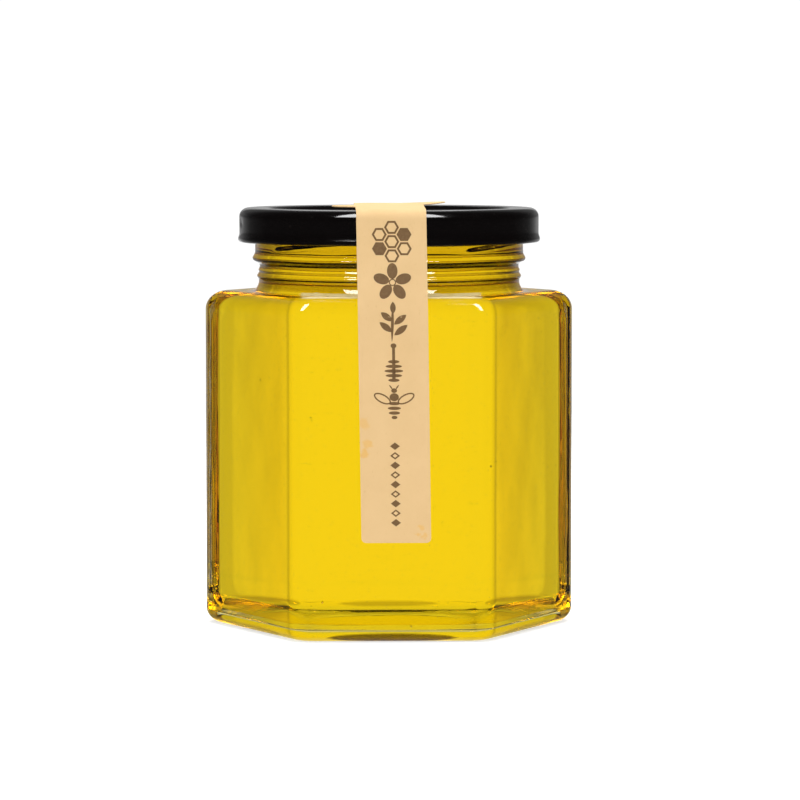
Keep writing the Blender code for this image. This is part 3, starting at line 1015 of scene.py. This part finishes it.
def acacia_honey():
    """Clear acacia honey: it takes nearly all blue and some green, so it is a strong clear yellow.

    Its colour hardly deepens after the first millimetres, so part is in its surface; the darker tints at the
    flanks, in the neck, at the neck's foot and on faces seen edge-on are painted shade.
    """
    material = empty_material("acacia_honey")
    place = add_node(material, "TexCoord", output="Object")
    side, depth, height = add_node(material, "SeparateXYZ", (place,)).node.outputs
    side = add_node(material, "Math", (side,), operation="ABSOLUTE")
    painted_flank_shade = add_node(material, "MapRange", (side, 20.5 * MM, 22.5 * MM))
    painted_neck_shade = add_node(material, "MapRange", (height, 69.5 * MM, 74.5 * MM))
    painted_foot_tint = add_node(material, "MapRange", (height, 72.6 * MM, 73.8 * MM))
    foot_top = add_node(material, "MapRange", (height, 75.2 * MM, 76.6 * MM, 1.0, 0.0))
    front = add_node(material, "MapRange", (depth, -8 * MM, -2 * MM, 1.0, 0.0))
    facing = add_node(material, "LayerWeight", {"Blend": 0.5}, "Facing")
    painted_edge_on_shade = add_node(material, "MapRange", (facing, 0.74, 0.86))
    wall = add_node(material, "MapRange", (height, 7 * MM, 10 * MM))
    wall_top = add_node(material, "MapRange", (height, 64 * MM, 67 * MM, 1.0, 0.0))
    for limit in (foot_top, front):
        painted_foot_tint = add_node(material, "Math", (painted_foot_tint, limit), operation="MULTIPLY")
    for limit in (wall, wall_top):
        painted_edge_on_shade = add_node(material, "Math", (painted_edge_on_shade, limit), operation="MULTIPLY")
    # Painted shade: darker at the flanks, in the neck, at the neck's foot and on faces seen edge-on
    colour = HONEY_FACE
    for share, tint in (
        (painted_flank_shade, HONEY_FLANK_PAINTED_SHADE), (painted_neck_shade, HONEY_NECK_PAINTED_SHADE), (painted_foot_tint, HONEY_NECK_FOOT_PAINTED_SHADE), (painted_edge_on_shade, HONEY_EDGE_ON_PAINTED_SHADE)
    ):
        colour = add_node(material, "Mix", {"Factor": share, "A": colour, "B": tint}, **COLOURS)
    looks = {"Roughness": 0.0, "IOR": GLASS_INDEX, "Color": colour}
    surface = add_node(material, "BsdfRefraction", looks)
    tint = add_node(material, "VolumeAbsorption", {"Color": (0.987, 0.884, 0.0, 1), "Density": 40.0})
    add_node(material, "OutputMaterial", {"Surface": surface, "Volume": tint})
    return material


def trapped_air():
    """A bubble in glass or honey: it turns light the other way, so it reads as a small dark ring."""
    material = empty_material("trapped_air")
    air = add_node(material, "BsdfGlass", {"Color": (1, 1, 1, 1), "Roughness": 0.0, "IOR": 0.67})
    add_node(material, "OutputMaterial", {"Surface": air})
    return material


def black_lacquer():
    """Stoved black lacquer on tinplate: deep black and glossy, with the faint peel of a rolled coat."""
    material = empty_material("black_lacquer_on_tinplate")
    place = add_node(material, "TexCoord", output="Object")
    texture = {"Vector": place, "Scale": 1 / (1.6 * MM), "Detail": 2.0, "Roughness": 0.5}
    peel = add_node(material, "TexNoise", texture)
    relief = add_node(material, "Bump", {"Height": peel, "Strength": 0.12, "Distance": 0.02 * MM})
    texture = {"Vector": place, "Scale": 1 / (11 * MM), "Detail": 5.0, "Roughness": 0.6}
    smears = add_node(material, "TexNoise", texture)
    gloss = add_node(material, "MapRange", (smears, 0.35, 0.7, 0.07, 0.16))
    specks = add_node(material, "TexVoronoi", {"Vector": place, "Scale": 1 / (2.6 * MM), "Randomness": 1.0})
    specks = add_node(material, "MapRange", (specks, 0.02, 0.05, 0.6, 0.0))
    mixed = {"Factor": specks, "A": linear("080606"), "B": linear("4A4744")}
    colour = add_node(material, "Mix", mixed, **COLOURS)
    looks = {"IOR": 1.5, "Base Color": colour, "Roughness": gloss, "Normal": relief}
    surface = add_node(material, "BsdfPrincipled", looks)
    add_node(material, "OutputMaterial", {"Surface": surface})
    return material


def kraft_paper():
    """Bleached kraft paper, matt and faintly fibrous, with a few honey stains near the front tip."""
    material = empty_material("kraft_paper")
    place = add_node(material, "TexCoord", output="Object")
    texture = {"Vector": place, "Scale": 1 / (6 * MM), "Detail": 4.0, "Roughness": 0.55}
    clouds = add_node(material, "TexNoise", texture)
    mixed = {"Factor": clouds, "A": linear("D4B17D"), "B": linear("DEBC89")}
    colour = add_node(material, "Mix", mixed, **COLOURS)
    stretch = add_node(material, "Mapping", {"Vector": place, "Scale": (1.0, 1.0, 0.35)})
    texture = {"Vector": stretch, "Scale": 1 / (0.35 * MM), "Detail": 3.0, "Roughness": 0.6}
    fibres = add_node(material, "TexNoise", texture)
    share = add_node(material, "MapRange", (fibres, 0.62, 0.75, 0.0, 0.35))
    colour = add_node(material, "Mix", {"Factor": share, "A": colour, "B": linear("BB925C")}, **COLOURS)
    for spot, reach, strength in HONEY_STAINS:
        colour = add_stain(material, place, colour, spot, reach, strength)
    relief = add_node(material, "Bump", {"Height": fibres, "Strength": 0.35, "Distance": 0.03 * MM})
    looks = {"Roughness": 0.86, "Specular IOR Level": 0.25, "Base Color": colour, "Normal": relief}
    surface = add_node(material, "BsdfPrincipled", looks)
    add_node(material, "OutputMaterial", {"Surface": surface})
    return material


# Honey stains on the front of the seal: place, radius in millimetres, strength
HONEY_STAINS = (
    ((-6.1, -36.0, 46.8), 1.3, 0.4), ((-5.2, -36.0, 42.5), 1.1, 0.5), ((-6.0, -36.0, 40.3), 1.0, 0.6),
    ((6.3, -36.0, 24.8), 0.7, 0.5), ((5.6, -36.0, 23.2), 0.6, 0.55), ((6.9, -36.0, 22.9), 0.5, 0.5),
)


def add_stain(material, place, colour, spot, reach, strength):
    """A soft-edged yellow spot where honey has soaked into the paper."""
    texture = {"Vector": place, "Scale": 1 / (1.2 * MM), "Detail": 3.0, "Roughness": 0.6}
    ragged = add_node(material, "TexNoise", texture)
    uneven = add_node(material, "Math", (ragged, 2.6 * MM, -1.3 * MM), operation="MULTIPLY_ADD")
    centre = [value * MM for value in spot]
    distance = add_node(material, "VectorMath", (place, centre), "Value", operation="DISTANCE")
    total = add_node(material, "Math", (distance, uneven), operation="ADD")
    share = add_node(material, "MapRange", (total, reach * 0.6 * MM, reach * 1.1 * MM, strength, 0.0))
    return add_node(material, "Mix", {"Factor": share, "A": colour, "B": linear("DAA64A")}, **COLOURS)


def brown_ink():
    """Letterpress ink on rough paper: dark brown, matt, a little thin where the paper's grain shows."""
    material = empty_material("brown_printing_ink")
    place = add_node(material, "TexCoord", output="Object")
    texture = {"Vector": place, "Scale": 1 / (0.5 * MM), "Detail": 3.0, "Roughness": 0.6}
    grain = add_node(material, "TexNoise", texture)
    mixed = {"Factor": grain, "A": linear("5E4529"), "B": linear("80623F")}
    colour = add_node(material, "Mix", mixed, **COLOURS)
    looks = {"Roughness": 0.8, "Specular IOR Level": 0.2, "Base Color": colour}
    surface = add_node(material, "BsdfPrincipled", looks)
    add_node(material, "OutputMaterial", {"Surface": surface})
    return material


def table_white():
    """Matt white plastic sweep, lit from below as well, so that hardly a shadow is left on it."""
    material = empty_material("white_sweep")
    looks = {"Base Color": linear("C8C8C8"), "Roughness": 0.9}
    looks.update({"Emission Color": (1, 1, 1, 1), "Emission Strength": 0.6})
    surface = add_node(material, "BsdfPrincipled", looks)
    add_node(material, "OutputMaterial", {"Surface": surface})
    return material


# Floor, light and camera

def make_floor():
    deselect_all()
    bpy.ops.mesh.primitive_circle_add(vertices=96, radius=0.6, fill_type="NGON")
    floor = bpy.context.object
    floor.name = "sweep"
    edit_all()
    bpy.ops.mesh.inset(thickness=0.3, depth=0)
    bpy.ops.object.mode_set(mode="OBJECT")
    floor.data.materials.append(table_white())
    floor.visible_glossy = False
    floor.visible_transmission = False


def make_softbox(name, place, width, height, radiance):
    """A rectangular soft light at a place, turned to face the jar."""
    light = bpy.data.lights.new(name, "AREA")
    light.shape = "RECTANGLE"
    light.size = width
    light.size_y = height
    light.energy = math.pi * width * height * radiance
    softbox = bpy.data.objects.new(name, light)
    bpy.context.scene.collection.objects.link(softbox)
    softbox.location = place
    towards_jar = Vector((0, 0, 0.08)) - softbox.location
    softbox.rotation_euler = towards_jar.to_track_quat("-Z", "Y").to_euler()
    return softbox


def make_lights():
    """The bright faces of the softboxes, which gloss and glass mirror, and their soft light on the rest."""
    for name, side in (("left", -1), ("right", 1)):
        place = (side * 0.35, -0.46, 0.91)
        face = make_softbox(f"softbox_face_{name}", place, 0.27, 0.80, 17.0)
        face.visible_diffuse = False
        spread = make_softbox(f"softbox_spread_{name}", place, 0.27, 0.80, 2.0)
        spread.visible_glossy = False
        spread.visible_transmission = False
    top = make_softbox("softbox_top", (0, 0.05, 0.95), 0.7, 0.7, 5.2)
    top.rotation_euler = (0, 0, 0)
    top.visible_glossy = False
    top.visible_transmission = False


CAMERA_WHITE = 1.05
DIFFUSE_SKY = 0.8


def make_studio_walls():
    """White paper behind the jar, seen through it, and dark towards the sides and the camera."""
    world = bpy.data.worlds.new("studio")
    bpy.context.scene.world = world
    world.use_nodes = True
    world.node_tree.nodes.clear()
    world.cycles.sampling_method = "NONE"
    ray = add_node(world, "LightPath").node.outputs
    direction = add_node(world, "TexCoord", output="Generated")
    side, ahead, up = add_node(world, "SeparateXYZ", (direction,)).node.outputs
    away = add_node(world, "Math", (side,), operation="ABSOLUTE")
    away = add_node(world, "Math", (away, ahead), operation="ARCTAN2")
    away = add_node(world, "Math", (away, math.pi), operation="DIVIDE")
    turn = add_node(world, "Math", (side, ahead), operation="ARCTAN2")
    turn = add_node(world, "Math", (turn, 1 / math.tau, 0.5), operation="MULTIPLY_ADD")
    down = add_node(world, "Math", (up, -1.0), operation="MULTIPLY")
    rise = add_node(world, "MapRange", (up, LOWEST, 1.0))
    round_stops = [((degrees + 180) / 2, level) for degrees, level in SEEN_THROUGH]
    back_stops = [(height - LOWEST, level) for height, level in BACK_LIGHT]
    levels = []
    for share, stops, most_place, most_level in (
        (turn, round_stops, 180, 2.0), (down, UNDER_THE_JAR, 1.0, 1.0), (away, MIRRORED, 180, 2.0),
        (rise, back_stops, 1.0 - LOWEST, 8.0), (up, BRIGHT_STRIP, 1.0, 4.0),
    ):
        table = add_node(world, "ValToRGB", (share,))
        elements = table.node.color_ramp.elements
        while len(elements) < len(stops):
            elements.new(0.5)
        for element, (place, level) in zip(elements, stops):
            part = level / most_level
            element.position = place / most_place
            element.color = (part, part, part, 1)
        levels.append(add_node(world, "Math", (table, most_level), operation="MULTIPLY"))
    backdrop, under, mirrored, lifted, strip = levels
    seen_through = add_node(world, "Math", (backdrop, under), operation="MULTIPLY")
    wall = add_node(world, "Math", (lifted, mirrored), operation="MULTIPLY")
    narrow = add_node(world, "MapRange", (away, 6 / 180, 9 / 180, 1.0, 0.0))
    back = add_node(world, "Math", (strip, narrow, wall), operation="MULTIPLY_ADD")
    strength = DIFFUSE_SKY
    for kind, level in (("Glossy", back), ("Transmission", seen_through), ("Camera", CAMERA_WHITE)):
        inputs = {"Factor": ray[f"Is {kind} Ray"], "A": strength, "B": level}
        strength = add_node(world, "Mix", inputs)
    background = add_node(world, "Background", {"Color": (1, 1, 1, 1), "Strength": strength})
    add_node(world, "OutputWorld", {"Surface": background})


# Brightness seen through the jar, by the direction from straight behind it towards the right, in degrees
SEEN_THROUGH = (
    (-180, 0.8), (-110, 0.8), (-75, 0.5), (-58, 0.45), (-42, 0.6), (-39.0, 1.1), (-38.63, 1.03),
    (-38.35, 0.87), (-38.1, 0.68), (-37.6, 0.66), (-33, 0.9), (-22, 1.05), (0, 1.05), (22, 1.05),
    (33, 0.97), (38.9, 0.64), (39.47, 0.74), (39.77, 0.92), (40.06, 1.17), (40.3, 1.15), (42.5, 0.6),
    (58, 0.45), (75, 0.5), (110, 0.8), (180, 0.8),
)

# How much of it is left, by how steeply the direction goes down to the table under the jar
UNDER_THE_JAR = ((0.0, 1.0), (0.5, 1.0), (0.8, 0.8), (1.0, 0.7))

# Brightness mirrored in lid and glass, by the direction from straight behind to either side, in degrees
MIRRORED = ((0, 1.0), (8, 1.0), (13, 0.42), (25, 0.42), (37, 0.21), (46, 0.09), (70, 0.03), (180, 0.03))

# How bright the wall behind the jar is, by the height of the direction, from under level to straight up
LOWEST = -0.1
BACK_LIGHT = (
    (-0.1, 1.0), (-0.02, 1.0), (0.01, 0.5), (0.16, 0.5), (0.22, 0.35), (0.4, 0.35), (1.0, 0.35)
)

# A bright strip above the wall, by the height of the direction: the far side of the lid's rim mirrors it
BRIGHT_STRIP = ((0.0, 0.0), (0.4, 0.0), (0.44, 2.85), (0.54, 2.85), (0.6, 0.0), (1.0, 0.0))


# Camera, fitted to the photograph
CAMERA_DISTANCE = 832.8 * MM
CAMERA_HEIGHT = 110.39 * MM
CAMERA_PITCH = math.radians(4.2048)
CAMERA_SIDE = math.radians(1.0)
CAMERA_YAW = CAMERA_SIDE + math.radians(0.167)
FOCAL_PIXELS = 3776.0


def make_camera():
    data = bpy.data.cameras.new("camera")
    data.sensor_width = 36.0
    data.lens = FOCAL_PIXELS * data.sensor_width / IMAGE_SIDE
    data.clip_start = 0.01
    camera = bpy.data.objects.new("camera", data)
    bpy.context.scene.collection.objects.link(camera)
    camera.location = (
        -CAMERA_DISTANCE * math.sin(CAMERA_SIDE),
        -CAMERA_DISTANCE * math.cos(CAMERA_SIDE),
        CAMERA_HEIGHT,
    )
    camera.rotation_euler = (math.radians(90) - CAMERA_PITCH, 0, -CAMERA_YAW)
    bpy.context.scene.camera = camera


def main():
    bpy.context.scene.view_settings.view_transform = "Standard"
    bpy.context.scene.cycles.max_bounces = 40
    bpy.context.scene.cycles.transmission_bounces = 40
    make_camera()
    make_floor()
    make_lights()
    make_studio_walls()
    make_glass()
    make_honey()
    make_lid()
    make_seal()
    make_print()
    make_bubbles()


main()
